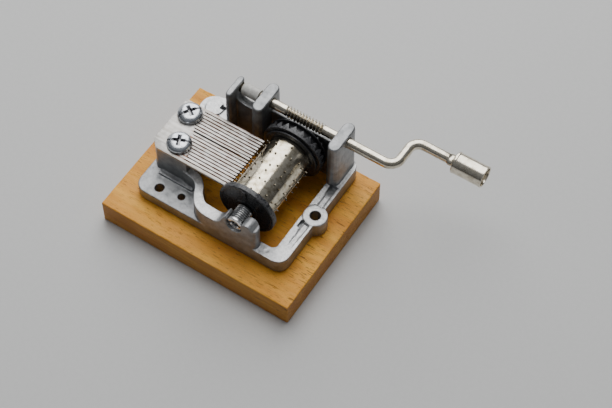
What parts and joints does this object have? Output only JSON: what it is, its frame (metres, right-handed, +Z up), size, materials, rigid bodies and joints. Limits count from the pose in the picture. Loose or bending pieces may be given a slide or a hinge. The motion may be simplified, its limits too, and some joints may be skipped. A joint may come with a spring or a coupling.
{
  "type": "music box",
  "caption": "Hand-cranked music movement: pinned cylinder, steel comb, worm wheel and bent crank in a die-cast frame on a small wooden board.",
  "frame": {"origin": "centre of the wooden board's underside, the face that the object stands on", "axes": "+X along the crank's rod towards its handle, +Y from the front wall with the slotted bush to the posts at the back, +Z up"},
  "size_m": [0.0877, 0.0545, 0.0303],
  "materials": {
    "wood": "raw, sanded",
    "cast_zinc": "satin as cast",
    "comb_steel": "ground, lightly tarnished",
    "zinc_plated_steel": "bright plated",
    "nickel_plate": "polished",
    "turned_steel": "turned",
    "black_plastic": "satin moulded",
    "pale_plastic": "matt",
    "brass": "turned",
    "lead": "dull"
  },
  "bodies": {
    "root": {"wooden_base": "wood", "base_screw_left": "turned_steel", "base_screw_right": "turned_steel", "base_screw_front": "turned_steel", "bedplate": "cast_zinc", "comb": "comb_steel", "bass_weight_1": "lead", "bass_weight_2": "lead", "bass_weight_3": "lead", "bass_weight_4": "lead", "bass_weight_5": "lead", "bass_weight_6": "lead", "bass_weight_7": "lead", "comb_screw_front": "zinc_plated_steel", "comb_screw_rear": "zinc_plated_steel", "front_bush": "turned_steel", "rear_bush": "brass"},
    "crank": {"crank": "nickel_plate", "thrust_sleeve": "pale_plastic"},
    "cylinder": {"cylinder_drum": "nickel_plate", "cylinder_end_cap": "black_plastic", "worm_wheel": "black_plastic", "arbor": "turned_steel"},
    "knob": {"crank_knob": "nickel_plate"}
  },
  "joints": [
    {"name": "crank_turn", "type": "hinge", "parent": "root", "child": "crank", "pos_m": [0, 0.0181, 0.0273], "axis": [-1, 0, 0], "continuous": true},
    {"name": "cylinder_turn", "type": "hinge", "parent": "root", "child": "cylinder", "pos_m": [0.0084, 0, 0.0198], "axis": [0, 1, 0], "continuous": true},
    {"name": "knob_turn", "type": "hinge", "parent": "crank", "child": "knob", "pos_m": [0.0487, 0.0282, 0.0273], "axis": [1, 0, 0], "continuous": true}
  ],
  "couplings": [
    {"joint": "cylinder_turn", "follows": "crank_turn", "ratio": 0.020833}
  ]
}
